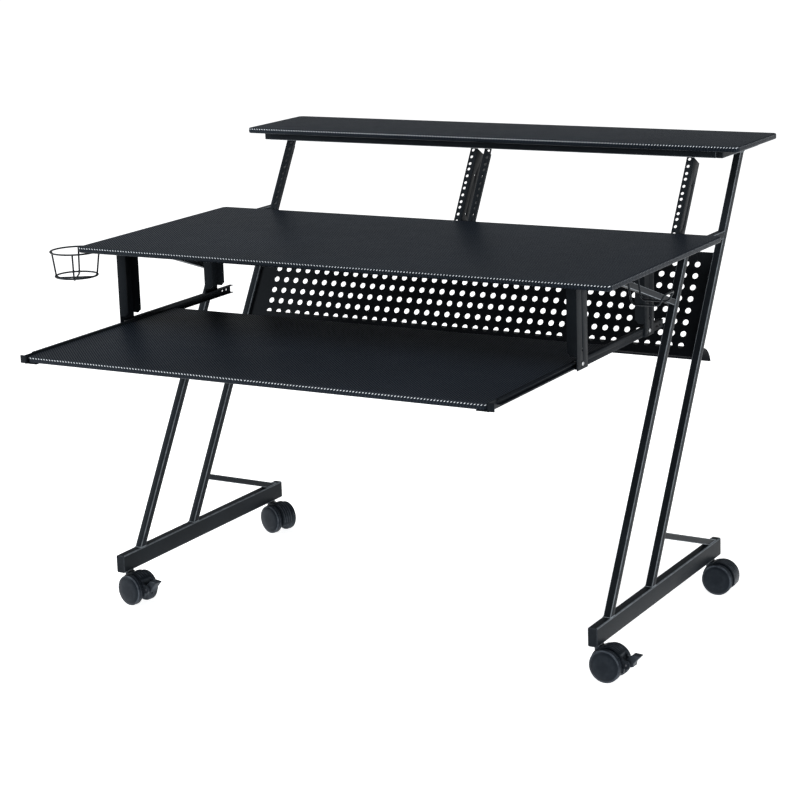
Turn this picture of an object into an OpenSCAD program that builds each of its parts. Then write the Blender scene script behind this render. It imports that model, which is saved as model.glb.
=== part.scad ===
// Studio computer desk on casters, with a rack bay, a raised shelf and a sliding keyboard tray.
// X runs left to right, Y runs front to back, Z runs up from the floor.
// The origin is on the floor at the centre of the whole object's footprint box.

/* [Boards] */
// Width of the desk top
desk_w = 1200; // [1150:10:1250]
// Depth of the desk top
desk_d = 546; // [520:2:560]
// Height of the desk top's upper face above the floor
desk_h = 770; // [760:5:780]
// Thickness of every board
board_t = 12; // [12:1:14]
// Radius of the boards' corners, seen from above
board_corner_r = 12; // [5:1:20]
// Radius of the boards' rounded edges
board_edge_r = 3; // [1:0.5:4]
// Width of the top shelf
shelf_w = 1188; // [1150:2:1200]
// Depth of the top shelf
shelf_d = 231; // [200:1:240]
// Distance of the top shelf's front edge behind the desk top's front edge
shelf_y = 644; // [630:1:660]
// Height of the top shelf's upper face above the floor
shelf_h = 936; // [930:1:945]
// Width of the keyboard tray
tray_w = 1008; // [1008:1:1008]
// Depth of the keyboard tray
tray_d = 500; // [450:10:500]
// Height of the keyboard tray's upper face above the floor
tray_h = 611; // [611:1:611]
// Distance that the tray stands in front of the desk top, pulled out
tray_out = 300; // [200:10:300]

/* [Frame] */
// Distance of each side frame from the centre line
frame_x = 548; // [548:1:550]
// Width of a floor rail
rail_w = 20; // [20:1:24]
// Height of a floor rail
rail_tall = 38; // [36:1:40]
// Height of a floor rail's underside above the floor
rail_z = 70; // [70:1:72]
// Distance of the floor rails' front ends behind the desk top's front edge
rail_y0 = 17; // [10:1:25]
// Distance of the floor rails' rear ends behind the desk top's front edge
rail_y1 = 635; // [625:1:645]
// Side of the square post tube
post_s = 16; // [16:1:18]
// Wall thickness of all tube
tube_wall = 1.5; // [1:0.25:2]
// Lean of the posts from vertical, in degrees
lean = 31; // [31:1:31]
// Depth position of the front post's centre line at the top of the floor rail
front_post_y = 89; // [85:1:92]
// Depth position of the rear post's centre line at the top of the floor rail
rear_post_y = 288; // [284:1:292]
// Side of the thin square tube in the struts and braces
strut_s = 13; // [12:0.5:14]
// Fall of the struts and braces, in degrees
strut_fall = 19.1; // [18.5:0.1:20]

/* [Rack] */
// Distance between the hole lines of one rack bay
bay_holes = 465.1; // [465.1:0.1:465.1]
// Distance of the inner hole lines from the centre line
bay_inner = 18.6; // [18:0.1:19]
// Height of one rack unit
rack_unit = 44.45; // [44.45:0.01:44.45]
// Number of rack units in a bay
rack_units = 4; // [3:1:4]
// Diameter of a rack hole
rack_hole_d = 6.8; // [6:0.1:7]
// Depth of a rack rail's side flange
rack_flange = 32; // [28:1:34]
// Thickness of the rack rail's sheet
rack_t = 2; // [1.5:0.5:2.5]

/* [Panel] */
// Diameter of a panel hole
panel_hole_d = 12.5; // [10:0.5:14]
// Distance between panel holes, both ways
panel_pitch = 25; // [24:0.1:25.2]
// Distance between rows of panel holes
panel_row_pitch = 25.4; // [24:0.1:25.4]
// Number of hole columns
panel_cols = 41; // [36:1:41]
// Sideways offset of the hole pattern from the centre line
panel_shift = 8.2; // [-9:0.1:9]
// Number of hole rows
panel_rows = 8; // [6:1:8]
// Thickness of the panel's sheet
sheet_t = 1.5; // [1:0.25:2]
// Height of the panel's lower edge above the floor
panel_z0 = 518; // [515:1:525]
// Height of the panel's upper edge above the floor
panel_z1 = 714; // [710:1:718]

/* [Slides] */
// Height of the slide's outer profile
slide_tall = 17; // [17:1:17]
// Thickness of a closed slide
slide_thick = 12; // [12:1:12]
// Length of each slide member
slide_len = 400; // [380:5:400]

/* [Casters] */
// Radius of a caster wheel
wheel_r = 32.5; // [32.5:0.5:32.5]
// Overall width of a pair of caster wheels
caster_w = 62; // [60:1:64]
// Distance of the wheel's axle from the swivel axis
caster_trail = 22; // [22:1:22]
// Distance of a caster's stem from the end of the floor rail
stem_inset = 30; // [28:1:34]

/* [Accessories] */
// Inner diameter of the cup holder's upper ring
cup_ring_d = 100; // [90:1:102]
// Inner diameter of the cup holder's lower ring
cup_base_d = 84; // [74:1:86]
// Depth of the cup holder
cup_deep = 52; // [45:1:60]
// Diameter of the cup holder's and the hook's wire
wire_d = 4; // [3:0.5:5]
// Width of the headphone hook from front to back
hook_w = 45; // [35:1:55]

/* [Hidden] */

black_steel = "#1c1f22";
board_grey = "#2b2f36";
dark_plastic = "#17181a";
zinc = "#8a8d90";
round_fn = 48;
nudge = 1;

// Footprint box: cup holder to the left, board or hook to the right, tray in front, shelf behind.
cup_x = -desk_w / 2 - 32;
cup_y = 37;
cup_reach = cup_ring_d / 2 + wire_d;
hook_tip_x = desk_w / 2 + 44;
hook_root_x = 568;
hook_y = 150;
box_x0 = cup_x - cup_reach;
box_x1 = hook_tip_x;
nose_t = 2;
box_y0 = -tray_out - nose_t;
box_y1 = shelf_y + shelf_d;
mid_x = -(box_x0 + box_x1) / 2;
mid_y = -(box_y0 + box_y1) / 2;

rise = tan(lean);
rail_top = rail_z + rail_tall;
desk_under = desk_h - board_t;
shelf_under = shelf_h - board_t;
tray_under = tray_h - board_t;
top_rail_z = desk_under - post_s;
arm_tall = 15;
arm_z = shelf_under - arm_tall;
post_deep = post_s / cos(lean);
strut_tall = strut_s / cos(strut_fall);
inner_face_x = frame_x - post_s / 2;
rack_foot_y = 657.5 - (908 - desk_under) * rise;
beam_d = 40;
rear_beam_y = rack_foot_y - 2;
shelf_beam_y = 657;
slide_z = 600;
slide_outer_x = tray_w / 2 + 2 + slide_thick;
slide_y0 = 32;
hanger_d = 46;
front_hanger_y = 28;
rear_hanger_y = 338;
hanger_t = 2;
flange_z = 625;
runner_y0 = -270;
cage_len = 90;
axle_r = 3;
stem_r = 5.5;
swivel_gap = 0.05;
front_stem_y = rail_y0 + stem_inset;
rear_stem_y = rail_y1 - stem_inset;
hood_w = 29;
pivot_x = 61;
pivot_z = 38;
pivot_r = 2;
lever_half = 9;

// Turn at which each caster is parked, from trailing towards +X
front_left_turn = -11;
front_right_turn = -2;
rear_left_turn = -17;
rear_right_turn = 2;

function front_post_at(z) = front_post_y + (z - rail_top) * rise;
function rear_post_at(z) = rear_post_y + (z - rail_top) * rise;
function rack_at(z) = rack_foot_y + (z - desk_under) * rise;

// Puts a shape that is drawn from the desk top's front edge and centre line into the row frame.
module placed() {
    translate([mid_x, mid_y, 0]) children();
}

// Keeps the children of the right-hand side, or mirrors them to the left.
module sided(side) {
    if (side > 0) {
        children();
    } else {
        mirror([1, 0, 0]) children();
    }
}

module box(x0, x1, y0, y1, z0, z1) {
    translate([x0, y0, z0]) cube([x1 - x0, y1 - y0, z1 - z0]);
}

// Prism along X over an outline given in Y and Z.
module prism_x(x0, x1, outline) {
    translate([x0, 0, 0])
        rotate([90, 0, 90])
            linear_extrude(height = x1 - x0) polygon(outline);
}

// Rectangular tube along Y.
module tube_y(x, y0, y1, z0, w, h) {
    difference() {
        box(x - w / 2, x + w / 2, y0, y1, z0, z0 + h);
        box(x - w / 2 + tube_wall, x + w / 2 - tube_wall, y0 - nudge, y1 + nudge,
            z0 + tube_wall, z0 + h - tube_wall);
    }
}

// Rectangular tube along X.
module tube_x(x0, x1, y0, z0, d, h) {
    difference() {
        box(x0, x1, y0, y0 + d, z0, z0 + h);
        box(x0 - nudge, x1 + nudge, y0 + tube_wall, y0 + d - tube_wall,
            z0 + tube_wall, z0 + h - tube_wall);
    }
}

// Leaning square tube, cut level at both ends; y is its centre at height z0.
module leaning_post(y, z0, z1) {
    far_y = y + (z1 - z0) * rise;
    half = post_deep / 2;
    wall = tube_wall / cos(lean);
    difference() {
        prism_x(frame_x - post_s / 2, frame_x + post_s / 2,
            [[y - half, z0], [y + half, z0], [far_y + half, z1], [far_y - half, z1]]);
        prism_x(frame_x - post_s / 2 + tube_wall, frame_x + post_s / 2 - tube_wall,
            [[y - half + wall - nudge * rise, z0 - nudge], [y + half - wall - nudge * rise, z0 - nudge],
             [far_y + half - wall + nudge * rise, z1 + nudge], [far_y - half + wall + nudge * rise, z1 + nudge]]);
    }
}

// Half of a board's cross-section, out from its middle, with rounded edges.
module board_section(half_w) {
    e = board_edge_r;
    h = board_t / 2;
    translate([0, -h]) square([half_w - e, board_t]);
    translate([0, e - h]) square([half_w, board_t - 2 * e]);
    for (z = [e - h, h - e]) {
        translate([half_w - e, z]) circle(r = e, $fn = 12);
    }
}

// Board with rounded corners and rounded edges.
module board(x0, x1, y0, y1, z_top) {
    r = board_corner_r;
    translate([(x0 + x1) / 2, (y0 + y1) / 2, z_top - board_t / 2]) {
        half_x = (x1 - x0) / 2;
        half_y = (y1 - y0) / 2;
        translate([r - half_x, 0, 0])
            rotate([90, 0, 90])
                linear_extrude(height = 2 * (half_x - r)) {
                    board_section(half_y);
                    mirror([1, 0]) board_section(half_y);
                }
        translate([0, half_y - r, 0])
            rotate([90, 0, 0])
                linear_extrude(height = 2 * (half_y - r)) {
                    board_section(half_x);
                    mirror([1, 0]) board_section(half_x);
                }
        for (x = [r - half_x, half_x - r], y = [r - half_y, half_y - r]) {
            translate([x, y, 0]) rotate_extrude($fn = round_fn) board_section(r);
        }
    }
}

// ---- Side frames ----

module floor_rail() {
    difference() {
        tube_y(frame_x, rail_y0, rail_y1, rail_z, rail_w, rail_tall);
        for (y = [front_stem_y, rear_stem_y]) {
            translate([frame_x, y, rail_z - nudge])
                cylinder(r = stem_r, h = tube_wall + 2 * nudge, $fn = round_fn);
        }
    }
}

module foot_strut() {
    fall = tan(strut_fall);
    z_top = 200;
    y_top = rear_post_at(z_top) + post_deep / 2;
    z_low = z_top - strut_tall;
    y_low = rear_post_at(z_low) + post_deep / 2;
    y_end = y_top + (z_top - rail_top) / fall;
    difference() {
        prism_x(frame_x - strut_s / 2, frame_x + strut_s / 2,
            [[y_low, z_low - (y_low - y_top) * fall], [y_top, z_top], [y_end, rail_top],
             [y_end - strut_tall / fall, rail_top]]);
        prism_x(inner_face_x - nudge, frame_x + post_s,
            [[y_top - 60, z_top - 60 / rise], [y_top, z_top], [y_top + 20, z_top + 20 / rise],
             [y_top - 60, z_top + 20 / rise]]);
    }
}

module upper_brace() {
    fall = tan(strut_fall);
    z_low = 652;
    y_low = front_post_at(z_low) - post_deep / 2;
    y_end = y_low - (top_rail_z - z_low) / fall;
    z_high = z_low + strut_tall;
    y_high = front_post_at(z_high) - post_deep / 2;
    z_meet = z_high - (y_high - y_low) * fall;
    y_meet = front_post_at(z_meet) - post_deep / 2;
    prism_x(frame_x - strut_s / 2, frame_x + strut_s / 2,
        [[y_low, z_low], [y_meet, z_meet], [y_end + strut_tall / fall, top_rail_z], [y_end, top_rail_z]]);
}

module front_post() {
    leaning_post(front_post_y, rail_top, top_rail_z);
}

module rear_post() {
    leaning_post(rear_post_y, rail_top, arm_z);
}

module top_rail() {
    y_far = rear_post_at(top_rail_z) - post_deep / 2;
    y_top = rear_post_at(desk_under) - post_deep / 2;
    difference() {
        tube_y(frame_x, 120, y_top, top_rail_z, post_s, post_s);
        prism_x(inner_face_x - nudge, inner_face_x + post_s + nudge,
            [[y_far - nudge * rise, top_rail_z - nudge], [y_top + 2 * nudge, top_rail_z - nudge],
             [y_top + 2 * nudge, desk_under + nudge], [y_top + nudge * rise, desk_under + nudge]]);
    }
}

module shelf_arm() {
    tube_y(frame_x, 662, shelf_y + shelf_d - 15, arm_z, post_s, arm_tall);
}

// Pushed-in plastic cap for a rectangular tube whose open end faces along Y.
module tube_cap(x, y, z0, w, h, out) {
    lip = 2;
    plug = 10;
    side = out > 0 ? 1 : -1;
    y_lip = side > 0 ? y : y - lip;
    y_plug = side > 0 ? y - plug : y;
    union() {
        box(x - w / 2, x + w / 2, y_lip, y_lip + lip, z0, z0 + h);
        box(x - w / 2 + tube_wall, x + w / 2 - tube_wall, y_plug, y_plug + plug,
            z0 + tube_wall, z0 + h - tube_wall);
    }
}

module tube_end_caps() {
    color(dark_plastic) placed()
        for (x = [-frame_x, frame_x]) {
            tube_cap(x, rail_y0, rail_z, rail_w, rail_tall, -1);
            tube_cap(x, rail_y1, rail_z, rail_w, rail_tall, 1);
            tube_cap(x, 120, top_rail_z, post_s, post_s, -1);
            tube_cap(x, 662, arm_z, post_s, arm_tall, -1);
            tube_cap(x, shelf_y + shelf_d - 15, arm_z, post_s, arm_tall, 1);
        }
}

// ---- Cross beams and boards ----

module front_beam() {
    color(black_steel) placed()
        tube_x(-inner_face_x, inner_face_x, 200, top_rail_z, beam_d, post_s);
}

module rear_beam() {
    color(black_steel) placed()
        tube_x(-inner_face_x, inner_face_x, rear_beam_y, top_rail_z, beam_d + 2, post_s);
}

module shelf_beam() {
    color(black_steel) placed()
        tube_x(-inner_face_x, inner_face_x, shelf_beam_y, arm_z, beam_d, arm_tall);
}

module desk_top() {
    color(board_grey) placed()
        board(-desk_w / 2, desk_w / 2, 0, desk_d, desk_h);
}

module top_shelf() {
    color(board_grey) placed()
        board(-shelf_w / 2, shelf_w / 2, shelf_y, shelf_y + shelf_d, shelf_h);
}

// ---- Rack rails ----

// L-section rail; the bay is on the low-X side of the hole line and the side flange on the other.
module rack_rail(hole_x, toward) {
    free_edge = 6.5;
    corner = 10;
    x_free = hole_x - toward * free_edge;
    x_corner = hole_x + toward * corner;
    z_low = desk_under;
    run = (arm_z - z_low) / cos(lean);
    hole_first = 4;
    difference() {
        translate([0, rack_at(z_low), z_low])
            rotate([-lean, 0, 0])
                difference() {
                    union() {
                        box(min(x_free, x_corner), max(x_free, x_corner), 0, rack_t, -25, run);
                        box(min(x_corner - toward * rack_t, x_corner), max(x_corner - toward * rack_t, x_corner),
                            0, rack_flange, -25, run);
                    }
                    for (u = [0 : rack_units - 1], step = [0, 15.875, 31.75]) {
                        translate([hole_x, -nudge, run - hole_first - u * rack_unit - step])
                            rotate([-90, 0, 0])
                                cylinder(d = rack_hole_d, h = rack_t + 2 * nudge, $fn = round_fn);
                    }
                    for (s = [30, 120]) {
                        translate([x_corner - nudge * 5, rack_flange / 2, s])
                            rotate([0, 90, 0]) cylinder(d = 5, h = 10 * nudge, $fn = round_fn);
                    }
                }
        box(-desk_w / 2, desk_w / 2, 400, 700, z_low - 60, z_low);
    }
}

// ---- Perforated panel and cable shelf ----

module perforated_panel() {
    half_w = inner_face_x;
    run = (panel_z1 - panel_z0) / cos(lean);
    first = 22.7;
    color(black_steel) placed()
        translate([0, rear_post_at(panel_z0), panel_z0])
            rotate([90 - lean, 0, 0])
                translate([0, 0, -sheet_t / 2])
                    linear_extrude(height = sheet_t)
                        difference() {
                            translate([-half_w, 0]) square([2 * half_w, run]);
                            for (row = [0 : panel_rows - 1], col = [0 : panel_cols - 1]) {
                                translate([panel_shift + (col - (panel_cols - 1) / 2) * panel_pitch,
                                           first + row * panel_row_pitch])
                                    circle(d = panel_hole_d, $fn = 24);
                            }
                        }
}

module cable_shelf() {
    half_w = inner_face_x;
    bend_r = 50;
    z_top = 527;
    y_bend = 580;
    y_start = rear_post_at(z_top - sheet_t) + sheet_t / 2 / cos(lean);
    drop = 37;
    color(black_steel) placed()
        translate([-half_w, 0, 0])
            rotate([90, 0, 90])
                linear_extrude(height = 2 * half_w) {
                    polygon([[y_start, z_top - sheet_t], [y_start + sheet_t * rise, z_top],
                             [y_bend, z_top], [y_bend, z_top - sheet_t]]);
                    translate([y_bend, z_top - bend_r])
                        intersection() {
                            difference() {
                                circle(r = bend_r, $fn = 96);
                                circle(r = bend_r - sheet_t, $fn = 96);
                            }
                            translate([0, bend_r - drop]) square([bend_r + nudge, drop + nudge]);
                        }
                }
}

// ---- Tray hangers and slides ----

module hanger(y0) {
    x1 = slide_outer_x + hanger_t;
    x0 = x1 - 21;
    y1 = y0 + hanger_d;
    difference() {
        union() {
            box(slide_outer_x, x1, y0, y1, slide_z - 2, desk_under);
            box(x0, x1, y0, y0 + hanger_t, flange_z, desk_under);
            box(x0, x1, y1 - hanger_t, y1, flange_z, desk_under);
            box(x0, x1, y0 - 12, y1 + 12, desk_under - hanger_t, desk_under);
        }
        for (z = [slide_z + slide_tall / 2, flange_z + 9]) {
            translate([slide_outer_x - nudge, (y0 + y1) / 2, z])
                rotate([0, 90, 0]) cylinder(d = 4.2, h = hanger_t + 2 * nudge, $fn = round_fn);
        }
        for (y = [y0 - 6, y1 + 6]) {
            translate([(x0 + x1) / 2, y, desk_under - hanger_t - nudge])
                cylinder(d = 4.5, h = hanger_t + 2 * nudge, $fn = round_fn);
        }
        // Pressed line down the middle of the web
        box(x1 - 0.6, x1 + nudge, (y0 + y1) / 2 - 1.5, (y0 + y1) / 2 + 1.5, flange_z + 14, desk_under - 8);
        // Sloping cut at the lower end of each inward flange
        rotate([90, 0, 0])
            translate([0, 0, -y1 - nudge])
                linear_extrude(height = hanger_d + 2 * nudge)
                    polygon([[x0 - nudge, flange_z - nudge], [x0 + 8, flange_z - nudge], [x0 - nudge, flange_z + 8]]);
    }
}

// Fixed outer member: a C opening towards the tray.
module slide_channel() {
    t = 1.2;
    x0 = slide_outer_x - slide_thick + 2;
    difference() {
        box(x0, slide_outer_x, slide_y0, slide_y0 + slide_len, slide_z, slide_z + slide_tall);
        box(x0 - nudge, slide_outer_x - t, slide_y0 - nudge, slide_y0 + slide_len + nudge,
            slide_z + t, slide_z + slide_tall - t);
        for (y = [front_hanger_y + hanger_d / 2, rear_hanger_y + hanger_d / 2]) {
            translate([slide_outer_x - t - nudge, y, slide_z + slide_tall / 2])
                rotate([0, 90, 0]) cylinder(d = 4.2, h = t + 2 * nudge, $fn = round_fn);
        }
        for (y = [401, 416]) {
            translate([slide_outer_x - t - nudge, y, slide_z + slide_tall / 2])
                rotate([0, 90, 0]) cylinder(d = 4.2, h = t + 2 * nudge, $fn = round_fn);
        }
    }
}

// Moving inner member: a smaller C opening outwards.
module slide_runner() {
    t = 1.2;
    x0 = slide_outer_x - slide_thick;
    x1 = slide_outer_x - 3;
    z0 = slide_z + 3.8;
    z1 = slide_z + slide_tall - 3.8;
    difference() {
        box(x0, x1, runner_y0, runner_y0 + slide_len, z0, z1);
        box(x0 + t, x1 + nudge, runner_y0 - nudge, runner_y0 + slide_len + nudge, z0 + t, z1 - t);
    }
}

// Roller cage between the two members, with its rollers.
module slide_cage() {
    t = 0.8;
    roller_r = 1;
    y0 = 36;
    x_web = slide_outer_x - 2.5;
    x_in = slide_outer_x - 8;
    gap_mid = 2.5;
    for (z = [slide_z + gap_mid, slide_z + slide_tall - gap_mid]) {
        box(x_in, x_web + t, y0, y0 + cage_len, z - t / 2, z + t / 2);
        for (k = [0 : 7]) {
            translate([x_in + 1, y0 + 6 + k * 11, z])
                rotate([0, 90, 0]) cylinder(r = roller_r, h = 3, $fn = 24);
        }
    }
    box(x_web, x_web + t, y0, y0 + cage_len, slide_z + gap_mid, slide_z + slide_tall - gap_mid);
}

module tray_bracket() {
    x0 = tray_w / 2;
    x1 = x0 + 2;
    z0 = tray_under - 2;
    z1 = tray_h + 3.5;
    y_front = -tray_out - nose_t;
    y_rear = runner_y0 + slide_len;
    difference() {
        union() {
            box(x0, x1, -tray_out, y_rear, z0, z1);
            box(x0 - 24, x1, -tray_out, y_rear, z0, tray_under);
            box(x0, slide_outer_x - 1, y_front, y_front + 2, z0 + 1, z1 - 1);
            box(x0, x1, y_front, -tray_out + nudge, z0, z1);
        }
        for (y = [-250, -90, 90]) {
            translate([x0 - 14, y, z0 - nudge]) cylinder(d = 3.6, h = 2 + 2 * nudge, $fn = round_fn);
        }
    }
}

module keyboard_tray() {
    color(board_grey) placed()
        board(-tray_w / 2, tray_w / 2, -tray_out, -tray_out + tray_d, tray_h);
}

// Domed screw with its shank, head down, under a board.
module screw_up(x, y, z) {
    translate([x, y, z]) {
        cylinder(d = 3.2, h = 9, $fn = 24);
        translate([0, 0, -1.6]) cylinder(d1 = 5, d2 = 7, h = 1.6, $fn = 24);
    }
}

module tray_screws() {
    color(zinc) placed()
        for (x = [-1, 1], y = [-250, -90, 90]) {
            screw_up(x * (tray_w / 2 - 14), y, tray_under - 2);
        }
}

// Pan-head bolt whose head stands outside the hanger web.
module side_bolt(y, z) {
    translate([slide_outer_x + hanger_t, y, z]) rotate([0, 90, 0]) {
        translate([0, 0, -3.2]) cylinder(d = 4, h = 3.2, $fn = 24);
        cylinder(d1 = 8, d2 = 6, h = 1.5, $fn = 24);
    }
}

module frame_bolts() {
    color(zinc) placed() {
        for (side = [-1, 1]) {
            sided(side)
                for (y = [front_hanger_y + hanger_d / 2, rear_hanger_y + hanger_d / 2]) {
                    side_bolt(y, slide_z + slide_tall / 2);
                }
        }
        for (side = [-1, 1], y0 = [front_hanger_y, rear_hanger_y], dy = [-6, hanger_d + 6]) {
            screw_up(side * (slide_outer_x + hanger_t - 10.5), y0 + dy, desk_under - hanger_t);
        }
        for (dx = [62, 82]) {
            screw_up(cup_x + dx, cup_y, desk_under - 3);
        }
        for (dy = [12, hook_w - 12]) {
            screw_up(hook_root_x, hook_y + dy, desk_under - 3);
        }
    }
}

// ---- Cup holder and headphone hook ----

module ring(d) {
    rotate_extrude($fn = 96) translate([d / 2 + wire_d / 2, 0]) circle(d = wire_d, $fn = 12);
}

// Round rod between two points.
module rod(a, b, d) {
    run = b - a;
    flat = norm([run[0], run[1]]);
    translate(a)
        rotate([0, atan2(flat, run[2]), atan2(run[1], run[0])])
            cylinder(d = d, h = norm(run), $fn = 12);
}

module cup_holder() {
    ring_z = desk_under - 2 - wire_d / 2;
    base_z = ring_z - cup_deep;
    top_r = (cup_ring_d + wire_d) / 2;
    base_r = (cup_base_d + wire_d) / 2;
    color(black_steel) placed() translate([cup_x, cup_y, 0]) {
        translate([0, 0, ring_z]) ring(cup_ring_d);
        translate([0, 0, base_z]) ring(cup_base_d);
        for (turn = [30, 120, 210, 300]) {
            rotate([0, 0, turn]) {
                rod([top_r, 0, ring_z], [base_r, 0, base_z], wire_d);
                rod([base_r, 0, base_z], [base_r - 6, 0, base_z - wire_d], wire_d);
                rod([base_r - 6, 0, base_z - wire_d], [0, 0, base_z - wire_d], wire_d);
            }
        }
        // Fixing plate under the desk top
        difference() {
            box(top_r - 1, 92, -16, 16, desk_under - 3, desk_under);
            for (x = [62, 82]) {
                translate([x, 0, desk_under - 4]) cylinder(d = 4.5, h = 5, $fn = round_fn);
            }
        }
    }
}

// Bent wire loop: down from the desk top, out past its right edge, and up at the tip.
module headphone_hook() {
    y0 = hook_y;
    y1 = y0 + hook_w;
    x_root = hook_root_x;
    x_heel = 574;
    x_toe = hook_tip_x - 12;
    x_tip = hook_tip_x - wire_d / 2;
    z_root = desk_under - 1.5;
    z_bed = 705;
    z_tip = 727;
    points = [[x_root, z_root], [x_heel, z_bed + 8], [x_heel + 6, z_bed], [x_toe - 6, z_bed + 1],
              [x_toe, z_bed + 4], [x_tip, z_tip]];
    color(black_steel) placed() {
        for (y = [y0, y1], k = [0 : len(points) - 2]) {
            rod([points[k][0], y, points[k][1]], [points[k + 1][0], y, points[k + 1][1]], wire_d);
        }
        rod([x_tip, y0, z_tip], [x_tip, y1, z_tip], wire_d);
        // Fixing plate under the desk top
        difference() {
            box(x_root - 12, x_root + 14, y0 - 8, y1 + 8, desk_under - 3, desk_under);
            for (y = [y0 + 12, y1 - 12]) {
                translate([x_root, y, desk_under - 4]) cylinder(d = 4.5, h = 5, $fn = round_fn);
            }
        }
    }
}

// ---- Casters, each drawn about its own stem on the floor, trailing towards +X ----

module at_caster(side, y, turn) {
    translate([side * frame_x, y, 0]) rotate([0, 0, turn]) children();
}

module caster_stem() {
    translate([0, 0, 52]) cylinder(r = 4, h = 14, $fn = round_fn);
    translate([0, 0, 66]) cylinder(r = 8, h = rail_z - 66, $fn = round_fn);
    translate([0, 0, rail_z]) cylinder(r = stem_r - 0.1, h = 20, $fn = round_fn);
}

// Hood between the two wheels, with the swivel boss, the axle and, on a braked caster, the lever's pin.
module caster_hood(braked) {
    hood_r = wheel_r + 3;
    slot_half = lever_half + 0.6;
    color(dark_plastic) {
        difference() {
            union() {
                translate([caster_trail, hood_w / 2, wheel_r])
                    rotate([90, 0, 0]) cylinder(r = hood_r, h = hood_w, $fn = 96);
                translate([0, 0, 40]) cylinder(r = 10, h = 25.5, $fn = round_fn);
                if (braked) {
                    translate([pivot_x, hood_w / 2, pivot_z])
                        rotate([90, 0, 0]) cylinder(r = 8, h = hood_w, $fn = round_fn);
                    box(pivot_x - 16, pivot_x, -hood_w / 2, hood_w / 2, pivot_z - 8, pivot_z + 8);
                }
            }
            // Open underside
            box(caster_trail - 40, caster_trail + 40, -hood_w, hood_w, -5, 21);
            // Bore for the stem
            translate([0, 0, 51]) cylinder(r = 4 + swivel_gap, h = 20, $fn = round_fn);
            // Slot for the lever
            if (braked) {
                box(pivot_x - 12, pivot_x + 20, -slot_half, slot_half, 20, 64);
            }
        }
    }
    color(zinc) {
        translate([caster_trail, 22, wheel_r])
            rotate([90, 0, 0]) cylinder(r = axle_r, h = 44, $fn = round_fn);
        if (braked) {
            translate([pivot_x, hood_w / 2, pivot_z])
                rotate([90, 0, 0]) cylinder(r = pivot_r, h = hood_w, $fn = round_fn);
        }
    }
}

// One domed wheel: a full-radius tread outside the hood and a shallow dome on its face.
module caster_wheel() {
    y_in = hood_w / 2 + 0.5;
    y_face = caster_w / 2;
    y_rim = y_face - 4;
    difference() {
        rotate([-90, 0, 0])
            rotate_extrude($fn = 96)
                polygon([[0, y_in], [wheel_r - 1.5, y_in], [wheel_r, y_in + 1.5], [wheel_r, y_rim - 1.5],
                         [wheel_r - 1.5, y_rim], [wheel_r - 4, y_rim + 1],
                         [wheel_r * 0.6, y_face - 0.8], [0, y_face]]);
        translate([0, y_in - nudge, 0])
            rotate([-90, 0, 0]) cylinder(r = axle_r + swivel_gap, h = 9, $fn = round_fn);
    }
}

module caster_wheels() {
    color(dark_plastic)
        translate([caster_trail, 0, wheel_r]) {
            caster_wheel();
            mirror([0, 1, 0]) caster_wheel();
        }
}

// Foot lever on the hood's pin, with a pedal that rises to its tip.
module brake_lever() {
    outline = [[57, 44], [64, 51.5], [71, 57.5], [87, 56.5], [87, 55], [75, 42], [73.5, 34], [64, 32]];
    color(dark_plastic)
        difference() {
            union() {
                translate([0, lever_half, 0])
                    rotate([90, 0, 0]) linear_extrude(height = 2 * lever_half) polygon(outline);
                translate([pivot_x, lever_half, pivot_z])
                    rotate([90, 0, 0]) cylinder(r = 7.5, h = 2 * lever_half, $fn = round_fn);
            }
            translate([pivot_x, lever_half + nudge, pivot_z])
                rotate([90, 0, 0])
                    cylinder(r = pivot_r + swivel_gap, h = 2 * (lever_half + nudge), $fn = round_fn);
        }
}

// ---- Named sub-parts ----

module left_floor_rail() { color(black_steel) placed() sided(-1) floor_rail(); }
module right_floor_rail() { color(black_steel) placed() floor_rail(); }
module left_front_post() { color(black_steel) placed() sided(-1) front_post(); }
module right_front_post() { color(black_steel) placed() front_post(); }
module left_rear_post() { color(black_steel) placed() sided(-1) rear_post(); }
module right_rear_post() { color(black_steel) placed() rear_post(); }
module left_foot_strut() { color(black_steel) placed() sided(-1) foot_strut(); }
module right_foot_strut() { color(black_steel) placed() foot_strut(); }
module left_upper_brace() { color(black_steel) placed() sided(-1) upper_brace(); }
module right_upper_brace() { color(black_steel) placed() upper_brace(); }
module left_top_rail() { color(black_steel) placed() sided(-1) top_rail(); }
module right_top_rail() { color(black_steel) placed() top_rail(); }
module left_shelf_arm() { color(black_steel) placed() sided(-1) shelf_arm(); }
module right_shelf_arm() { color(black_steel) placed() shelf_arm(); }
module rack_rail_left() { color(black_steel) placed() rack_rail(-bay_holes - bay_inner, -1); }
module rack_rail_center_left() { color(black_steel) placed() rack_rail(-bay_inner, 1); }
module rack_rail_center_right() { color(black_steel) placed() rack_rail(bay_inner, -1); }
module rack_rail_right() { color(black_steel) placed() rack_rail(bay_holes + bay_inner, 1); }
module left_front_hanger() { color(black_steel) placed() sided(-1) hanger(front_hanger_y); }
module right_front_hanger() { color(black_steel) placed() hanger(front_hanger_y); }
module left_rear_hanger() { color(black_steel) placed() sided(-1) hanger(rear_hanger_y); }
module right_rear_hanger() { color(black_steel) placed() hanger(rear_hanger_y); }
module left_slide_channel() { color(black_steel) placed() sided(-1) slide_channel(); }
module right_slide_channel() { color(black_steel) placed() slide_channel(); }
module left_slide_cage() { color(zinc) placed() sided(-1) slide_cage(); }
module right_slide_cage() { color(zinc) placed() slide_cage(); }
module left_slide_runner() { color(black_steel) placed() sided(-1) slide_runner(); }
module right_slide_runner() { color(black_steel) placed() slide_runner(); }
module left_tray_bracket() { color(black_steel) placed() sided(-1) tray_bracket(); }
module right_tray_bracket() { color(black_steel) placed() tray_bracket(); }
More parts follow.
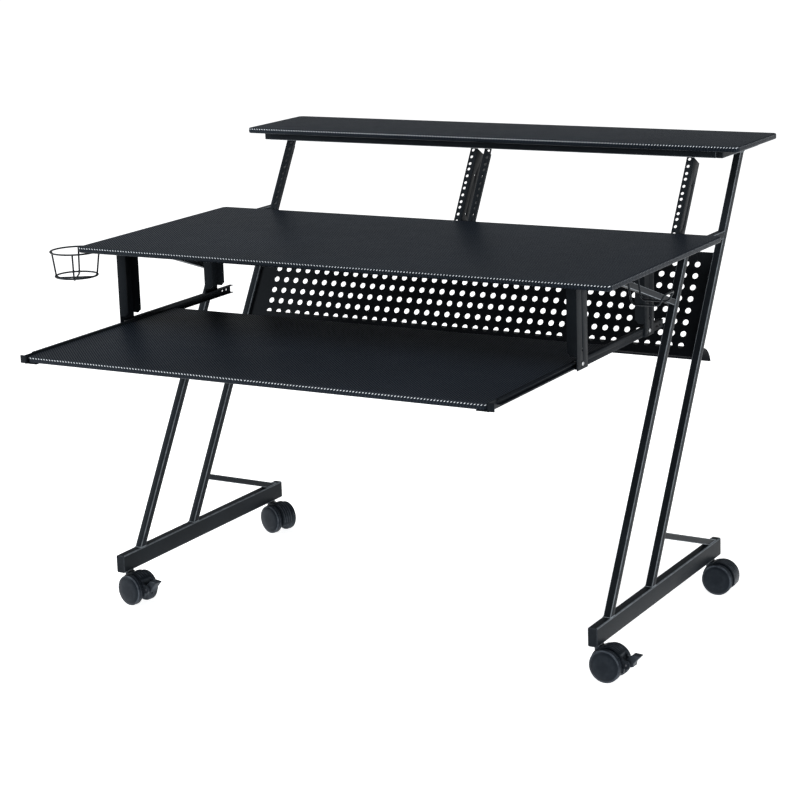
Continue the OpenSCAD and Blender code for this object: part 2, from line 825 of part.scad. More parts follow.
module front_left_stem() { color(zinc) placed() at_caster(-1, front_stem_y, front_left_turn) caster_stem(); }
module front_right_stem() { color(zinc) placed() at_caster(1, front_stem_y, front_right_turn) caster_stem(); }
module rear_left_stem() { color(zinc) placed() at_caster(-1, rear_stem_y, rear_left_turn) caster_stem(); }
module rear_right_stem() { color(zinc) placed() at_caster(1, rear_stem_y, rear_right_turn) caster_stem(); }
module front_left_hood() { placed() at_caster(-1, front_stem_y, front_left_turn) caster_hood(true); }
module front_right_hood() { placed() at_caster(1, front_stem_y, front_right_turn) caster_hood(true); }
module rear_left_hood() { placed() at_caster(-1, rear_stem_y, rear_left_turn) caster_hood(false); }
module rear_right_hood() { placed() at_caster(1, rear_stem_y, rear_right_turn) caster_hood(false); }
module front_left_wheels() { placed() at_caster(-1, front_stem_y, front_left_turn) caster_wheels(); }
module front_right_wheels() { placed() at_caster(1, front_stem_y, front_right_turn) caster_wheels(); }
module rear_left_wheels() { placed() at_caster(-1, rear_stem_y, rear_left_turn) caster_wheels(); }
module rear_right_wheels() { placed() at_caster(1, rear_stem_y, rear_right_turn) caster_wheels(); }
module front_left_brake() { placed() at_caster(-1, front_stem_y, front_left_turn) brake_lever(); }
module front_right_brake() { placed() at_caster(1, front_stem_y, front_right_turn) brake_lever(); }

left_floor_rail();
right_floor_rail();
tube_end_caps();
left_front_post();
right_front_post();
left_rear_post();
right_rear_post();
left_foot_strut();
right_foot_strut();
left_upper_brace();
right_upper_brace();
left_top_rail();
right_top_rail();
left_shelf_arm();
right_shelf_arm();
front_beam();
rear_beam();
shelf_beam();
desk_top();
top_shelf();
rack_rail_left();
rack_rail_center_left();
rack_rail_center_right();
rack_rail_right();
perforated_panel();
cable_shelf();
left_front_hanger();
right_front_hanger();
left_rear_hanger();
right_rear_hanger();
left_slide_channel();
right_slide_channel();
left_slide_cage();
right_slide_cage();
left_slide_runner();
right_slide_runner();
left_tray_bracket();
right_tray_bracket();
keyboard_tray();
tray_screws();
frame_bolts();
cup_holder();
headphone_hook();
front_left_stem();
front_right_stem();
rear_left_stem();
rear_right_stem();
front_left_hood();
front_right_hood();
rear_left_hood();
rear_right_hood();
front_left_wheels();
front_right_wheels();
rear_left_wheels();
rear_right_wheels();
front_left_brake();
front_right_brake();
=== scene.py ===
import math

import bmesh
import bpy
from mathutils import Matrix, Vector


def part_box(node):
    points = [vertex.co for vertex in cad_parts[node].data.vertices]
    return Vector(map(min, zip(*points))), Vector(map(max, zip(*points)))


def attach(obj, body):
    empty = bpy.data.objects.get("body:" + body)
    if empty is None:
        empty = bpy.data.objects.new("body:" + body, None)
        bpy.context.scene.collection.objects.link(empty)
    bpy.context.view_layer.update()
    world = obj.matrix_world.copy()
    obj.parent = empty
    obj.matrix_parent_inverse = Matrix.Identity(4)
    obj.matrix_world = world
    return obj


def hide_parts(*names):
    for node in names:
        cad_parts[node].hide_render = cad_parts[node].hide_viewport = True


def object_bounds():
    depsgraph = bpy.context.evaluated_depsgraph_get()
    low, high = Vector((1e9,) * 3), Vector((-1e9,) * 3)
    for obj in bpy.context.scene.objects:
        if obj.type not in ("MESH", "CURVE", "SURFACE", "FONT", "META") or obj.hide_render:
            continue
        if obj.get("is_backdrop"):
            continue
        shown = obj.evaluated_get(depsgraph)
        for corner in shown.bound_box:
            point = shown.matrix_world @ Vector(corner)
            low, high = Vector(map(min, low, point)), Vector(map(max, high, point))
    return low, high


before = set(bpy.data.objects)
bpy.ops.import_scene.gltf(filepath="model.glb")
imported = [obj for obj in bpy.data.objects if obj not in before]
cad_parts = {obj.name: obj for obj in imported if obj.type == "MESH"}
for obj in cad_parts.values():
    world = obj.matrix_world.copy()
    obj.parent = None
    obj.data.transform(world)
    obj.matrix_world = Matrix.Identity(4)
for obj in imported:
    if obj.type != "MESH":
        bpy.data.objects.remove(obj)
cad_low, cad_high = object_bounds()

MM = 0.001
# The posts' lean backwards
LEAN = math.radians(31)
RISE = math.tan(LEAN)

desk_low, desk_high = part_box("desk_top")
ORIGIN = Vector(((desk_low.x + desk_high.x) / 2, desk_low.y, 0))


def at(x, y, z):
    """A point given in mm from the desk top's front edge and centre line, in the row frame."""
    return ORIGIN + Vector((x, y, z)) * MM


# ---------------------------------------------------------------- materials

class Nodes:
    """Short calls for building one node material."""

    def __init__(self, name):
        self.material = bpy.data.materials.new(name)
        self.material.use_nodes = True
        self.tree = self.material.node_tree
        self.tree.nodes.clear()
        out = self.tree.nodes.new("ShaderNodeOutputMaterial")
        self.shader = self.tree.nodes.new("ShaderNodeBsdfPrincipled")
        self.tree.links.new(self.shader.outputs[0], out.inputs[0])

    def put(self, socket, value):
        """Links another socket to this one, or gives it a plain value."""
        if isinstance(value, bpy.types.NodeSocket):
            self.tree.links.new(value, socket)
        else:
            socket.default_value = value

    def math(self, op, a, b=0.0, clamp=False):
        n = self.tree.nodes.new("ShaderNodeMath")
        n.operation = op
        n.use_clamp = clamp
        self.put(n.inputs[0], a)
        self.put(n.inputs[1], b)
        return n.outputs[0]

    def add(self, a, b):
        return self.math("ADD", a, b)

    def subtract(self, a, b):
        return self.math("SUBTRACT", a, b)

    def multiply(self, a, b, clamp=False):
        return self.math("MULTIPLY", a, b, clamp)

    def coords(self, kind="Object"):
        return self.tree.nodes.new("ShaderNodeTexCoord").outputs[kind]

    def split(self, vector):
        """The three parts of a vector."""
        n = self.tree.nodes.new("ShaderNodeSeparateXYZ")
        self.put(n.inputs[0], vector)
        return n.outputs

    def noise(self, scale, detail, rough=0.5):
        n = self.tree.nodes.new("ShaderNodeTexNoise")
        n.inputs["Scale"].default_value = scale
        n.inputs["Detail"].default_value = detail
        n.inputs["Roughness"].default_value = rough
        self.put(n.inputs["Vector"], self.coords())
        return n.outputs["Fac"]

    def between(self, value, low, high, to_low=0.0, to_high=1.0):
        """Goes from to_low to to_high as the value goes from low to high, and stays there outside."""
        n = self.tree.nodes.new("ShaderNodeMapRange")
        n.clamp = True
        self.put(n.inputs["Value"], value)
        self.put(n.inputs["From Min"], low)
        self.put(n.inputs["From Max"], high)
        self.put(n.inputs["To Min"], to_low)
        self.put(n.inputs["To Max"], to_high)
        return n.outputs["Result"]

    def mix(self, factor, a, b):
        n = self.tree.nodes.new("ShaderNodeMix")
        n.data_type = "RGBA"
        self.put(n.inputs[0], factor)
        self.put(n.inputs[6], a)
        self.put(n.inputs[7], b)
        return n.outputs[2]

    def shades(self, factor, base, gain):
        """A colour that goes from base to base times gain."""
        return self.mix(factor, (*base, 1), (*[c * gain for c in base], 1))

    def attribute(self, name):
        """A value stored on the mesh."""
        n = self.tree.nodes.new("ShaderNodeAttribute")
        n.attribute_name = name
        return n.outputs["Fac"]

    def bump(self, height, distance, strength):
        n = self.tree.nodes.new("ShaderNodeBump")
        n.inputs["Strength"].default_value = strength
        n.inputs["Distance"].default_value = distance
        self.put(n.inputs["Height"], height)
        return n.outputs[0]

    def set(self, **values):
        """Fills the shader's inputs and gives the finished material."""
        names = {"color": "Base Color", "rough": "Roughness", "metal": "Metallic",
                 "spec": "Specular IOR Level", "tint": "Specular Tint", "normal": "Normal",
                 "glow": "Emission Color", "glow_power": "Emission Strength"}
        for key, value in values.items():
            self.put(self.shader.inputs[names[key]], value)
        return self.material


# Tint of the reflections, which are bluer than the lights
COOL = (0.72, 0.87, 1.0, 1)


def powder_coat(name, base, edge, rough=0.36, spec=0.045):
    """Black powder coat: fine orange-peel, faint cloudiness, edges partly rubbed and partly painted
    highlight.
    """
    n = Nodes(name)
    cloud = n.noise(18, 4)
    speck = n.noise(900, 2)
    # Edge colour mask: rubbed wear on the edges, plus a painted highlight along the rounded corners
    wear_and_glint = n.between(n.noise(60, 5, 0.65), 0.3, 0.7, 0.45, 1.0)
    rubbed_and_glint = n.multiply(n.attribute("edge"), wear_and_glint, clamp=True)
    cloudy_rough = n.between(cloud, 0.3, 0.7, rough - 0.04, rough + 0.05)
    peel = n.add(speck, n.multiply(n.noise(300, 2), 0.8))
    return n.set(
        color=n.mix(rubbed_and_glint, n.shades(n.between(cloud, 0.35, 0.65), base, 1.35), (*edge, 1)),
        rough=n.add(cloudy_rough, n.between(speck, 0.3, 0.7, -0.04, 0.04)),
        spec=spec,
        tint=COOL,
        normal=n.bump(peel, 0.06 * MM, 0.6),
    )


def moulded(name, base, edge, rough, spec, grain=1400):
    """Moulded plastic with a fine spark-eroded grain, high spots partly rubbed and partly painted
    highlight.
    """
    n = Nodes(name)
    grit = n.noise(grain, 3, 0.6)
    flow = n.noise(35, 3)
    # Edge colour mask: rubbed wear on the high spots, plus a painted highlight along the rounded rims
    wear_and_glint = n.between(n.noise(110, 4), 0.35, 0.7, 0.3, 0.9)
    rubbed_and_glint = n.multiply(n.attribute("edge"), wear_and_glint, clamp=True)
    gritty_rough = n.between(grit, 0.3, 0.7, rough - 0.05, rough + 0.05)
    return n.set(
        color=n.mix(rubbed_and_glint, n.shades(n.between(flow, 0.3, 0.7), base, 1.3), (*edge, 1)),
        rough=n.add(gritty_rough, n.between(flow, 0.3, 0.7, -0.03, 0.03)),
        spec=spec,
        tint=COOL,
        normal=n.bump(grit, 0.05 * MM, 0.5),
    )


WEAVE_DARK = (0.0036, 0.0050, 0.0076)
WEAVE_LIGHT = (0.0095, 0.0128, 0.0190)
WEAVE_GAP = (0.002, 0.002, 0.003, 1)
# Colour of the painted highlight dots along the boards' rounded edges
PAINTED_GLINT_COLOUR = (0.90, 0.95, 1.0, 1)
THREAD = 1.65 * MM
TWILL = 4
# Band below a board's upper face where the painted highlight dots are whole, and how far they fade beyond
# it
GLINT_LOW, GLINT_HIGH = -3.2 * MM, -2.0 * MM
GLINT_FADE = 0.7 * MM


def woven_wrap(name, top_z, centre):
    """Film with a twill weave on it, wrapped over the board's rounded edges.

    u and v run along the film, so a thread goes on from the upper face down over the edge. Where the film
    turns down, a painted highlight dot sits on every fourth thread. The painted dots are fainter on the
    board's ends.
    """
    n = Nodes(name)
    x, y, z = n.split(n.coords())
    nx, ny, _ = n.split(n.coords("Normal"))
    drop = n.subtract(z, top_z)
    u = n.subtract(x, n.multiply(n.math("SIGN", n.subtract(x, centre.x)), drop))
    v = n.subtract(y, n.multiply(n.math("SIGN", n.subtract(y, centre.y)), drop))

    a = n.math("DIVIDE", u, THREAD)
    b = n.math("DIVIDE", v, THREAD)
    step = n.math("FRACT", n.math("DIVIDE", n.add(n.math("FLOOR", a), n.math("FLOOR", b)), TWILL))
    over = n.math("LESS_THAN", step, 0.5)
    under = n.subtract(1.0, over)
    crown_u = n.math("ABSOLUTE", n.math("SINE", n.multiply(a, math.pi)))
    crown_v = n.math("ABSOLUTE", n.math("SINE", n.multiply(b, math.pi)))
    height = n.add(n.multiply(crown_u, over), n.multiply(crown_v, under))

    cloud = n.between(n.noise(4, 2), 0.35, 0.65)
    weave = n.mix(over, n.shades(cloud, WEAVE_DARK, 1.25), n.shades(cloud, WEAVE_LIGHT, 1.2))
    shaded = n.mix(n.between(height, 0.0, 0.5, 0.55, 0.0), weave, WEAVE_GAP)

    above_band = n.between(drop, GLINT_LOW - GLINT_FADE, GLINT_LOW)
    below_top = n.between(drop, GLINT_HIGH + GLINT_FADE, GLINT_HIGH)
    rim = n.multiply(above_band, below_top)
    # Painted highlight: the dots are strong on front-facing edges and faint on the ends, as the light
    # falls
    front = n.between(ny, -0.2, -0.45, 0.0, 1.0)
    side = n.between(n.math("ABSOLUTE", nx), 0.2, 0.5, 0.0, 0.16)
    turn = 2 * math.pi / (TWILL * THREAD)
    glint_u = n.between(n.math("COSINE", n.multiply(u, turn)), 0.3, 0.9)
    glint_v = n.between(n.math("COSINE", n.multiply(v, turn)), 0.3, 0.9)
    painted_glints = n.math("MAXIMUM", n.multiply(glint_u, front), n.multiply(glint_v, side))

    smear = n.between(n.noise(22, 5, 0.6), 0.35, 0.7, -0.01, 0.02)
    return n.set(
        # Mixes the painted highlight dots into the weave's colour
        color=n.mix(n.multiply(rim, painted_glints, clamp=True), shaded, PAINTED_GLINT_COLOUR),
        rough=n.add(n.between(over, 0, 1, 0.58, 0.32), smear),
        spec=0.13,
        tint=(0.66, 0.84, 1.0, 1),
        normal=n.bump(height, 0.16 * MM, 0.5),
    )


def zinc_plate(name, base, rough=0.3):
    """Zinc-plated or plain bright steel with faint stains."""
    n = Nodes(name)
    grain = n.noise(500, 4)
    return n.set(
        color=n.shades(n.between(n.noise(90, 3), 0.3, 0.7), base, 0.7),
        metal=1.0,
        rough=n.between(grain, 0.3, 0.7, rough - 0.06, rough + 0.1),
        normal=n.bump(grain, 0.04 * MM, 0.4),
    )


# Steel's light edge colour is mostly a painted highlight along the tube corners, with some rubbed wear
STEEL = powder_coat("black_powder_coat", (0.0092, 0.0112, 0.0136), (0.30, 0.33, 0.36))
PANEL = powder_coat("panel_powder_coat", (0.0030, 0.0033, 0.0040), (0.012, 0.013, 0.015),
                    rough=0.5, spec=0.09)
SHEET = powder_coat("sheet_powder_coat", (0.0072, 0.0088, 0.0108), (0.0100, 0.0120, 0.0145), spec=0.04)
SLIDE = powder_coat("slide_paint", (0.0036, 0.0046, 0.0060), (0.012, 0.015, 0.019), rough=0.34)
WIRE = powder_coat("wire_coat", (0.0060, 0.0068, 0.0080), (0.010, 0.011, 0.013), rough=0.3, spec=0.2)
# The moulded edge colours are partly rubbed wear and partly a painted highlight on the rounded rims and
# corners
CAP = moulded("cap_plastic", (0.0056, 0.0068, 0.0086), (0.050, 0.056, 0.064), 0.45, 0.1)
CASTER = moulded("caster_plastic", (0.0048, 0.0064, 0.0090), (0.080, 0.092, 0.110), 0.38, 0.13)
TREAD = moulded("wheel_nylon", (0.0052, 0.0070, 0.0102), (0.090, 0.104, 0.124), 0.42, 0.13, grain=900)
ZINC = zinc_plate("bright_zinc", (0.62, 0.63, 0.64))
DARK_ZINC = zinc_plate("black_zinc", (0.10, 0.10, 0.11), rough=0.35)
AXLE = zinc_plate("axle_steel", (0.45, 0.46, 0.47))


# ---------------------------------------------------------------- mesh building

# A face narrower than this is a strip of a rounded edge
STRIP_WIDTH = 1.6 * MM
# Turn between two strips, in radians, at which an edge counts as fully sharp
FULL_TURN = 0.55
# Stands for a radius of zero in mm, so that no face collapses on the axis
TINY_RADIUS = 0.02
# Edges of the CAD that turn by more degrees than this are rounded, and those below the other are dropped
ROUND_ABOVE = 40
FLAT_BELOW = 1.0
JOIN_WITHIN = 0.002 * MM
# A wire's corner that is straighter than this, in degrees, is left alone
NEARLY_STRAIGHT = 176
# Most of a straight run that one rounded corner may take up
CORNER_SHARE = 0.45
CORNER_STEPS = 6
WIRE_SIDES = 14
PLATE_ROUND = 0.8


def edge_measure(bm):
    """Stores how sharply each rounded edge turns, for rubbed wear and painted highlight. Flat faces stay
    at zero.
    """
    layer = bm.verts.layers.float.new("edge")
    narrow = {}
    for face in bm.faces:
        longest = max(e.calc_length() for e in face.edges)
        narrow[face] = face.calc_area() < STRIP_WIDTH * longest
    for v in bm.verts:
        turns = [e.calc_face_angle(0.0) for e in v.link_edges
                 if len(e.link_faces) == 2 and narrow[e.link_faces[0]] and narrow[e.link_faces[1]]]
        v[layer] = min(1.0, max(turns, default=0.0) / FULL_TURN)


def shown(name, bm, material, body, nodes=(), smooth=35):
    """Turns a bmesh in the row frame into a finished piece that rides on a body."""
    bmesh.ops.recalc_face_normals(bm, faces=bm.faces)
    edge_measure(bm)
    mesh = bpy.data.meshes.new(name)
    bm.to_mesh(mesh)
    bm.free()
    mesh.shade_smooth()
    mesh.set_sharp_from_angle(angle=math.radians(smooth))
    obj = bpy.data.objects.new(name, mesh)
    bpy.context.scene.collection.objects.link(obj)
    mesh.materials.append(material)
    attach(obj, body)
    if nodes:
        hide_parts(*nodes)
    return obj


def loft(bm, rings, closed_ends=True):
    """Skins a list of equal-length rings of points."""
    rows = [[bm.verts.new(p) for p in ring] for ring in rings]
    for lower, upper in zip(rows, rows[1:]):
        skin(bm, lower, upper)
    if closed_ends:
        bm.faces.new(list(reversed(rows[0])))
        bm.faces.new(rows[-1])
    return rows


def skin(bm, lower, upper):
    """Joins two rings of vertices with a band of faces."""
    count = len(lower)
    for i in range(count):
        j = (i + 1) % count
        bm.faces.new((lower[i], lower[j], upper[j], upper[i]))


def join_ends(bm, rows):
    """Joins the last ring to the first, turned to where their points lie closest."""
    first, last = rows[0], rows[-1]
    sides = len(first)

    def gap(shift):
        return sum((last[k].co - first[(k + shift) % sides].co).length for k in range(sides))

    shift = min(range(sides), key=gap)
    skin(bm, last, [first[(k + shift) % sides] for k in range(sides)])


def circle(steps):
    """Points of a unit circle."""
    return [(math.cos(2 * math.pi * k / steps), math.sin(2 * math.pi * k / steps)) for k in range(steps)]


def ring_about(p, side, up, radius, sides):
    """A circle about p in mm, as points in the row frame."""
    return [at(*(p + (side * c + up * s) * radius)) for c, s in circle(sides)]


def rounded_rectangle(half_w, half_h, radius, steps):
    """Outline points, counter-clockwise, in mm."""
    points = []
    for cx, cy, start in ((1, 1, 0), (-1, 1, 90), (-1, -1, 180), (1, -1, 270)):
        for k in range(steps + 1):
            turn = math.radians(start + 90 * k / steps)
            points.append((cx * (half_w - radius) + radius * math.cos(turn),
                           cy * (half_h - radius) + radius * math.sin(turn)))
    return points


def tube(bm, profile, centre, along, across, plane_a, plane_b):
    """Extrudes a profile along a direction, cut at both ends by (normal, distance) planes in mm."""
    along, across = Vector(along).normalized(), Vector(across)
    other = along.cross(across)
    rings = []
    for normal, distance in (plane_a, plane_b):
        normal = Vector(normal)
        ring = []
        for u, v in profile:
            p = Vector(centre) + across * u + other * v
            p = p + along * ((distance - normal.dot(p)) / normal.dot(along))
            ring.append(at(*p))
        rings.append(ring)
    loft(bm, rings)


def slab(bm, outline, levels, place):
    """Stacks insets of an outline function at (height, inset) levels; place maps (u, v, height)."""
    loft(bm, [[place(u, v, h) for u, v in outline(inset)] for h, inset in levels])


def bevelled_levels(thickness, radius, steps):
    """(height, inset) levels of a slab whose lower and upper edges are quarter-round."""
    low = []
    for k in range(steps + 1):
        turn = math.radians(90 * k / steps)
        low.append((radius * (1 - math.cos(turn)), radius * (1 - math.sin(turn))))
    return low + [(thickness - h, i) for h, i in reversed(low)]


def spin(bm, profile, centre, axis, steps, sign=1):
    """Revolves (radius, distance along the axis) pairs about the Y or Z axis through centre, in mm."""
    rings = []
    for r, d in profile:
        wide = max(r, TINY_RADIUS)
        ring = []
        for c, s in circle(steps):
            offset = (wide * c, sign * d, wide * s) if axis == "Y" else (wide * c, wide * s, sign * d)
            ring.append(at(*[p + q for p, q in zip(centre, offset)]))
        rings.append(ring)
    loft(bm, rings)


def box(bm, low, high, round_by):
    """Box between two corners in mm, with rounded edges."""
    part = bmesh.new()
    bmesh.ops.create_cube(part, size=1.0)
    size = Vector(high) - Vector(low)
    middle = (Vector(high) + Vector(low)) / 2
    for v in part.verts:
        v.co = at(*(middle + Vector(v.co[i] * size[i] for i in range(3))))
    bmesh.ops.bevel(part, geom=part.edges[:], offset=round_by * MM, segments=3, profile=0.5,
                    affect="EDGES")
    scratch = bpy.data.meshes.new("scratch")
    part.to_mesh(scratch)
    part.free()
    bm.from_mesh(scratch)
    bpy.data.meshes.remove(scratch)


def softened(node, material, body, width, segments=2, name=None):
    """A copy of a CAD node with its coplanar triangles joined and its edges rounded."""
    bm = bmesh.new()
    bm.from_mesh(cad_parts[node].data)
    bmesh.ops.remove_doubles(bm, verts=bm.verts, dist=JOIN_WITHIN)
    bmesh.ops.dissolve_limit(bm, angle_limit=math.radians(FLAT_BELOW), verts=bm.verts, edges=bm.edges)
    limit = math.radians(ROUND_ABOVE)
    sharp = [e for e in bm.edges if len(e.link_faces) == 2 and e.calc_face_angle(0.0) > limit]
    bmesh.ops.bevel(bm, geom=sharp, offset=width * MM, segments=segments, profile=0.5,
                    affect="EDGES", clamp_overlap=True)
    return shown(name or node + "_finish", bm, material, body, nodes=(node,))


def fillet(points, radius, closed):
    """Rounds the corners of a polyline."""
    out = []
    count = len(points)
    for i, p in enumerate(points):
        if not closed and i in (0, count - 1):
            out.append(p)
            continue
        before, after = points[i - 1], points[(i + 1) % count]
        a, b = before - p, after - p
        if a.angle(b) > math.radians(NEARLY_STRAIGHT):
            out.append(p)
            continue
        reach = min(radius, a.length * CORNER_SHARE, b.length * CORNER_SHARE)
        start, end = p + a.normalized() * reach, p + b.normalized() * reach
        for k in range(CORNER_STEPS + 1):
            t = k / CORNER_STEPS
            out.append(start * (1 - t) ** 2 + p * 2 * t * (1 - t) + end * t * t)
    return out


def sweep(bm, points, radius, closed):
    """Sweeps a circle along points, with a frame carried from point to point."""
    count = len(points)
    directions = []
    for i in range(count):
        a = points[i - 1] if (closed or i) else points[i]
        b = points[(i + 1) % count] if (closed or i < count - 1) else points[i]
        directions.append((b - a).normalized())
    side = directions[0].orthogonal().normalized()
    rings = []
    for p, d in zip(points, directions):
        side = (side - d * side.dot(d)).normalized()
        rings.append(ring_about(p, side, d.cross(side), radius, WIRE_SIDES))
    rows = loft(bm, rings, closed_ends=not closed)
    if closed:
        join_ends(bm, rows)


def wire(name, paths, radius, bend, plate_low, plate_high, node):
    """Round wire along (points, closed) polylines in mm, with the plate that holds it."""
    bm = bmesh.new()
    for points, closed in paths:
        sweep(bm, fillet([Vector(p) for p in points], bend, closed), radius, closed)
    box(bm, plate_low, plate_high, PLATE_ROUND)
    shown(name, bm, WIRE, "frame", (node,))


# ---------------------------------------------------------------- measures repeated from the frame

# Middle of a side frame and its inner face, from the desk's centre line
FRAME_X = 548
INNER_X = 540

# Floor rails: ends, upper face, middle, half width and half height
RAIL_Y0, RAIL_Y1 = 17, 635
RAIL_TOP = 108
RAIL_MIDDLE = 89
RAIL_HALF_X, RAIL_HALF_Z = 10, 19
RAIL_ROUND = 3

# Posts: half side, rounding, half depth where a level plane cuts them, and depths of their feet
POST_HALF, POST_ROUND = 8, 2
POST_HALF_CUT = 9.33
FRONT_POST_Y, REAR_POST_Y = 89, 288

# Top rails and desk beams, from their under face to the desk top's
TOP_RAIL, DESK_UNDER = 742, 758
TOP_RAIL_MIDDLE = 750
TOP_RAIL_FRONT = 120

# Shelf arms and shelf beam
ARM_LOW, ARM_TOP = 909, 924
ARM_MIDDLE, ARM_HALF_Z = 916.5, 7.5
ARM_FRONT, ARM_BACK = 662, 860

# Foot struts and upper braces: half side, rounding, slope, and the tube's height and length where a
# plumb and a level plane cut it
STRUT_HALF, STRUT_ROUND = 6.5, 1.4
STRUT_ANGLE = math.radians(19.1)
STRUT_FALL = math.tan(STRUT_ANGLE)
STRUT_TALL = 2 * STRUT_HALF / math.cos(STRUT_ANGLE)
STRUT_LONG = STRUT_TALL / STRUT_FALL
FOOT_STRUT_TOP = 200
BRACE_FOOT = 652


def front_post(z):
    """Depth of a front post's axis at a height."""
    return FRONT_POST_Y + (z - RAIL_TOP) * RISE


def rear_post(z):
    """Depth of a rear post's axis at a height."""
    return REAR_POST_Y + (z - RAIL_TOP) * RISE


SLANT = (0, math.sin(LEAN), math.cos(LEAN))
LEVEL = (0, 0, 1)
BACKWARD = (0, 1, 0)
ACROSS = (1, 0, 0)
POST_BACK = Vector((0, math.cos(LEAN), -math.sin(LEAN)))
SIDES = (("left", -1), ("right", 1))


# ---------------------------------------------------------------- side frames

WELD_STEP = 1.6
WELD_SIDES = 6
# Part of a bead's radius that its ripples take up, and their turn from ring to ring
WELD_RIPPLE, RIPPLE_TURN = 0.16, 2.1
POST_BEAD, STRUT_BEAD = 1.1, 0.9


def weld(bm, loop, radius=POST_BEAD):
    """A fine rippled weld bead along a closed loop of points."""
    dense = []
    for i, p in enumerate(loop):
        q = loop[(i + 1) % len(loop)]
        pieces = max(1, int((q - p).length / WELD_STEP))
        dense += [p.lerp(q, k / pieces) for k in range(pieces)]
    rings = []
    count = len(dense)
    side = None
    for i, p in enumerate(dense):
        d = (dense[(i + 1) % count] - dense[i - 1]).normalized()
        side = (side - d * side.dot(d)).normalized() if side else d.orthogonal().normalized()
        rippled = radius * (1.0 + WELD_RIPPLE * math.sin(i * RIPPLE_TURN))
        rings.append(ring_about(p, side, d.cross(side), rippled, WELD_SIDES))
    join_ends(bm, loft(bm, rings, closed_ends=False))


def foot_loop(side, y, z, half_x=POST_HALF, half_y=POST_HALF_CUT):
    """Corners of a tube's foot on a level face."""
    x = side * FRAME_X
    return [Vector((x + u * half_x, y + v * half_y, z)) for u, v in ((-1, -1), (1, -1), (1, 1), (-1, 1))]


def strut(bm, side, corners):
    """Thin square tube given by its four corners in Y and Z, with rounded long edges."""
    a, b, c, d = corners
    rings = []
    for (y1, z1), (y2, z2) in ((a, b), (d, c)):
        middle = Vector((side * FRAME_X, (y1 + y2) / 2, (z1 + z2) / 2))
        reach = Vector((0, y2 - y1, z2 - z1)) / 2
        stretch = reach.length / STRUT_HALF
        ring = []
        for u, v in rounded_rectangle(STRUT_HALF, STRUT_HALF, STRUT_ROUND, 3):
            ring.append(at(*(middle + Vector((u, 0, 0)) + reach.normalized() * (v * stretch))))
        rings.append(ring)
    loft(bm, rings)


def frame_tube(node, bm):
    """Finishes one steel tube of the frame."""
    shown(node + "_tube", bm, STEEL, "frame", (node,))


def foot_strut(node, side):
    """Tube from a rear post's back down to its floor rail."""
    y_top, z_top = rear_post(FOOT_STRUT_TOP) + POST_HALF_CUT, FOOT_STRUT_TOP
    z_low = z_top - STRUT_TALL
    y_low = rear_post(z_low) + POST_HALF_CUT
    z_low -= (y_low - y_top) * STRUT_FALL
    y_end = y_top + (z_top - RAIL_TOP) / STRUT_FALL
    corners = ((y_low, z_low), (y_top, z_top), (y_end, RAIL_TOP), (y_end - STRUT_LONG, RAIL_TOP))
    bm = bmesh.new()
    strut(bm, side, corners)
    weld(bm, foot_loop(side, y_end - STRUT_LONG / 2, RAIL_TOP, STRUT_HALF, STRUT_LONG / 2), STRUT_BEAD)
    frame_tube(node, bm)


def upper_brace(node, side):
    """Tube from a front post's front up to its top rail."""
    z_low = BRACE_FOOT
    y_low = front_post(z_low) - POST_HALF_CUT
    y_end = y_low - (TOP_RAIL - z_low) / STRUT_FALL
    z_high = z_low + STRUT_TALL
    y_high = front_post(z_high) - POST_HALF_CUT
    z_meet = z_high - (y_high - y_low) * STRUT_FALL
    y_meet = front_post(z_meet) - POST_HALF_CUT
    corners = ((y_low, z_low), (y_meet, z_meet), (y_end + STRUT_LONG, TOP_RAIL), (y_end, TOP_RAIL))
    bm = bmesh.new()
    strut(bm, side, corners)
    frame_tube(node, bm)


for name, side in SIDES:
    x = side * FRAME_X
    bm = bmesh.new()
    profile = rounded_rectangle(RAIL_HALF_X, RAIL_HALF_Z, RAIL_ROUND, 5)
    tube(bm, profile, (x, 0, RAIL_MIDDLE), BACKWARD, ACROSS, (BACKWARD, RAIL_Y0), (BACKWARD, RAIL_Y1))
    weld(bm, foot_loop(side, front_post(RAIL_TOP), RAIL_TOP))
    weld(bm, foot_loop(side, rear_post(RAIL_TOP), RAIL_TOP))
    frame_tube(name + "_floor_rail", bm)

    square = rounded_rectangle(POST_HALF, POST_HALF, POST_ROUND, 4)
    bm = bmesh.new()
    foot = (x, front_post(RAIL_TOP), RAIL_TOP)
    tube(bm, square, foot, SLANT, ACROSS, (LEVEL, RAIL_TOP), (LEVEL, TOP_RAIL))
    frame_tube(name + "_front_post", bm)
    bm = bmesh.new()
    foot = (x, rear_post(RAIL_TOP), RAIL_TOP)
    tube(bm, square, foot, SLANT, ACROSS, (LEVEL, RAIL_TOP), (LEVEL, ARM_LOW))
    weld(bm, foot_loop(side, rear_post(ARM_LOW), ARM_LOW))
    frame_tube(name + "_rear_post", bm)

    foot_strut(name + "_foot_strut", side)
    upper_brace(name + "_upper_brace", side)

    meeting = POST_BACK.dot(Vector((x, rear_post(TOP_RAIL_MIDDLE), TOP_RAIL_MIDDLE))) - POST_HALF
    bm = bmesh.new()
    start = (x, TOP_RAIL_FRONT, TOP_RAIL_MIDDLE)
    tube(bm, square, start, BACKWARD, ACROSS, (BACKWARD, TOP_RAIL_FRONT), (POST_BACK, meeting))
    frame_tube(name + "_top_rail", bm)
    bm = bmesh.new()
    profile = rounded_rectangle(POST_HALF, ARM_HALF_Z, POST_ROUND, 4)
    start = (x, ARM_FRONT, ARM_MIDDLE)
    tube(bm, profile, start, BACKWARD, ACROSS, (BACKWARD, ARM_FRONT), (BACKWARD, ARM_BACK))
    frame_tube(name + "_shelf_arm", bm)


